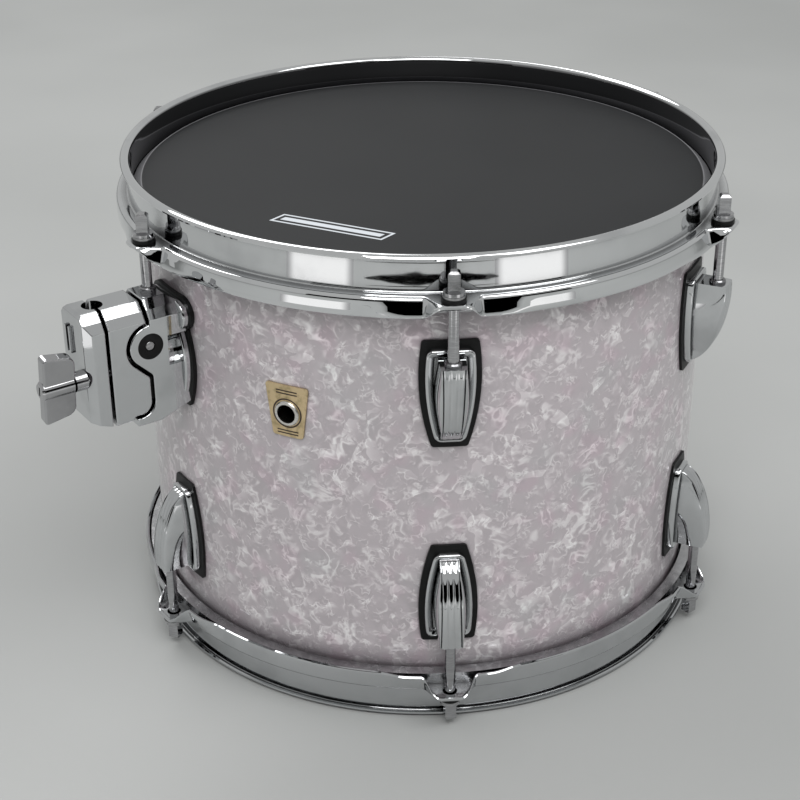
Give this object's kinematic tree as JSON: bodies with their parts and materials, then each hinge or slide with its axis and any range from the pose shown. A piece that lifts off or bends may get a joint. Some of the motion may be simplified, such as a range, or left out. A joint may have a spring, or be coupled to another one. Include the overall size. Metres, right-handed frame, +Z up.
{
  "type": "rack tom drum",
  "caption": "Cylindrical rack tom with pearl-wrapped shell, chrome counter hoops, tension rods, lugs, black batter head and a rubber-isolated clamp bracket for a holder rod.",
  "frame": {"origin": "on the drum's axis, in the plane of the bottom rim that it stands on", "axes": "+Z up along the drum's axis towards the batter head, the holder bracket points along -X"},
  "size_m": [0.4015, 0.3236, 0.2568],
  "materials": {
    "shell_wood": "sealed maple ply",
    "pearl_wrap": "glossy pearl sheet",
    "batter_film": "black film",
    "clear_film": "clear film",
    "flesh_hoop_metal": "plain",
    "chrome": "bright plating",
    "steel": "zinc plated",
    "black_nylon": "moulded",
    "black_rubber": "moulded",
    "badge_brass": "aged"
  },
  "bodies": {
    "drum": {"shell": "shell_wood", "wrap": "pearl_wrap", "batter_film": "batter_film", "resonant_film": "clear_film", "batter_flesh_hoop": "flesh_hoop_metal", "resonant_flesh_hoop": "flesh_hoop_metal", "lug_gaskets_upper": "black_rubber", "lug_gaskets_lower": "black_rubber", "swivel_nuts_upper": "steel", "swivel_nuts_lower": "steel", "lug_screws": "steel", "lug_screw_washers": "steel", "badge_plate": "badge_brass", "badge_eyelet": "badge_brass", "mount_base": "chrome", "mount_gasket": "black_rubber", "mount_screws": "steel", "mount_screw_washers": "steel", "mount_rod_nut": "steel", "pivot_bushings": "black_rubber", "isolator_pad": "black_rubber", "lug_upper_1": "chrome", "lug_upper_2": "chrome", "lug_upper_3": "chrome", "lug_upper_4": "chrome", "lug_upper_5": "chrome", "lug_lower_1": "chrome", "lug_lower_2": "chrome", "lug_lower_3": "chrome", "lug_lower_4": "chrome", "lug_lower_5": "chrome", "lug_lower_6": "chrome"},
    "batter_hoop": {"batter_hoop": "chrome", "batter_steel_washers": "steel", "batter_nylon_washers": "black_nylon"},
    "batter_rod_1": {"batter_rod_1": "steel"},
    "batter_rod_2": {"batter_rod_2": "steel"},
    "batter_rod_3": {"batter_rod_3": "steel"},
    "batter_rod_4": {"batter_rod_4": "steel"},
    "batter_rod_5": {"batter_rod_5": "steel"},
    "batter_rod_6": {"batter_rod_6": "steel"},
    "resonant_hoop": {"resonant_hoop": "chrome", "resonant_steel_washers": "steel", "resonant_nylon_washers": "black_nylon"},
    "resonant_rod_1": {"resonant_rod_1": "steel"},
    "resonant_rod_2": {"resonant_rod_2": "steel"},
    "resonant_rod_3": {"resonant_rod_3": "steel"},
    "resonant_rod_4": {"resonant_rod_4": "steel"},
    "resonant_rod_5": {"resonant_rod_5": "steel"},
    "resonant_rod_6": {"resonant_rod_6": "steel"},
    "tom_clamp": {"clamp_body": "chrome", "pivot_pin": "steel"},
    "clamp_jaw": {"clamp_jaw": "chrome"},
    "wing_screw": {"wing_screw": "chrome"}
  },
  "joints": [
    {"name": "batter_hoop_slide", "type": "slide", "parent": "drum", "child": "batter_hoop", "axis": [0, 0, 1], "range_m": [0, 0.00317]},
    {"name": "batter_rod_1_turn", "type": "hinge", "parent": "batter_hoop", "child": "batter_rod_1", "pos_m": [0.16475, 0, 0.2418], "axis": [0, 0, 1], "range_deg": [0, 1081]},
    {"name": "batter_rod_2_turn", "type": "hinge", "parent": "batter_hoop", "child": "batter_rod_2", "pos_m": [0.08238, 0.14268, 0.2418], "axis": [0, 0, 1], "range_deg": [0, 1081]},
    {"name": "batter_rod_3_turn", "type": "hinge", "parent": "batter_hoop", "child": "batter_rod_3", "pos_m": [-0.08238, 0.14268, 0.2418], "axis": [0, 0, 1], "range_deg": [0, 1081]},
    {"name": "batter_rod_4_turn", "type": "hinge", "parent": "batter_hoop", "child": "batter_rod_4", "pos_m": [-0.16475, 0, 0.2418], "axis": [0, 0, 1], "range_deg": [0, 1081]},
    {"name": "batter_rod_5_turn", "type": "hinge", "parent": "batter_hoop", "child": "batter_rod_5", "pos_m": [-0.08238, -0.14268, 0.2418], "axis": [0, 0, 1], "range_deg": [0, 1081]},
    {"name": "batter_rod_6_turn", "type": "hinge", "parent": "batter_hoop", "child": "batter_rod_6", "pos_m": [0.08238, -0.14268, 0.2418], "axis": [0, 0, 1], "range_deg": [0, 1081]},
    {"name": "resonant_hoop_slide", "type": "slide", "parent": "drum", "child": "resonant_hoop", "axis": [0, 0, -1], "range_m": [0, 0.00317]},
    {"name": "resonant_rod_1_turn", "type": "hinge", "parent": "resonant_hoop", "child": "resonant_rod_1", "pos_m": [0.16475, 0, 0.015], "axis": [0, 0, -1], "range_deg": [0, 1081]},
    {"name": "resonant_rod_2_turn", "type": "hinge", "parent": "resonant_hoop", "child": "resonant_rod_2", "pos_m": [0.08238, 0.14268, 0.015], "axis": [0, 0, -1], "range_deg": [0, 1081]},
    {"name": "resonant_rod_3_turn", "type": "hinge", "parent": "resonant_hoop", "child": "resonant_rod_3", "pos_m": [-0.08238, 0.14268, 0.015], "axis": [0, 0, -1], "range_deg": [0, 1081]},
    {"name": "resonant_rod_4_turn", "type": "hinge", "parent": "resonant_hoop", "child": "resonant_rod_4", "pos_m": [-0.16475, 0, 0.015], "axis": [0, 0, -1], "range_deg": [0, 1081]},
    {"name": "resonant_rod_5_turn", "type": "hinge", "parent": "resonant_hoop", "child": "resonant_rod_5", "pos_m": [-0.08238, -0.14268, 0.015], "axis": [0, 0, -1], "range_deg": [0, 1081]},
    {"name": "resonant_rod_6_turn", "type": "hinge", "parent": "resonant_hoop", "child": "resonant_rod_6", "pos_m": [0.08238, -0.14268, 0.015], "axis": [0, 0, -1], "range_deg": [0, 1081]},
    {"name": "clamp_pivot", "type": "hinge", "parent": "drum", "child": "tom_clamp", "pos_m": [-0.17255, 0, 0.1893], "axis": [0, 1, 0], "range_deg": [-1.2, 1.2], "stiffness_Nm_per_rad": 20},
    {"name": "jaw_slide", "type": "slide", "parent": "tom_clamp", "child": "clamp_jaw", "axis": [-1, 0, 0], "range_m": [0, 0.0025]},
    {"name": "wing_turn", "type": "hinge", "parent": "clamp_jaw", "child": "wing_screw", "pos_m": [-0.2137, -0.0097, 0.179], "axis": [-1, 0, 0], "range_deg": [0, 901]}
  ],
  "couplings": [
    {"joint": "batter_rod_1_turn", "follows": "batter_hoop_slide", "rad_per_m": 5936.9},
    {"joint": "batter_rod_2_turn", "follows": "batter_hoop_slide", "rad_per_m": 5936.9},
    {"joint": "batter_rod_3_turn", "follows": "batter_hoop_slide", "rad_per_m": 5936.9},
    {"joint": "batter_rod_4_turn", "follows": "batter_hoop_slide", "rad_per_m": 5936.9},
    {"joint": "batter_rod_5_turn", "follows": "batter_hoop_slide", "rad_per_m": 5936.9},
    {"joint": "batter_rod_6_turn", "follows": "batter_hoop_slide", "rad_per_m": 5936.9},
    {"joint": "resonant_rod_1_turn", "follows": "resonant_hoop_slide", "rad_per_m": 5936.9},
    {"joint": "resonant_rod_2_turn", "follows": "resonant_hoop_slide", "rad_per_m": 5936.9},
    {"joint": "resonant_rod_3_turn", "follows": "resonant_hoop_slide", "rad_per_m": 5936.9},
    {"joint": "resonant_rod_4_turn", "follows": "resonant_hoop_slide", "rad_per_m": 5936.9},
    {"joint": "resonant_rod_5_turn", "follows": "resonant_hoop_slide", "rad_per_m": 5936.9},
    {"joint": "resonant_rod_6_turn", "follows": "resonant_hoop_slide", "rad_per_m": 5936.9},
    {"joint": "wing_turn", "follows": "jaw_slide", "rad_per_m": 6283.2}
  ]
}
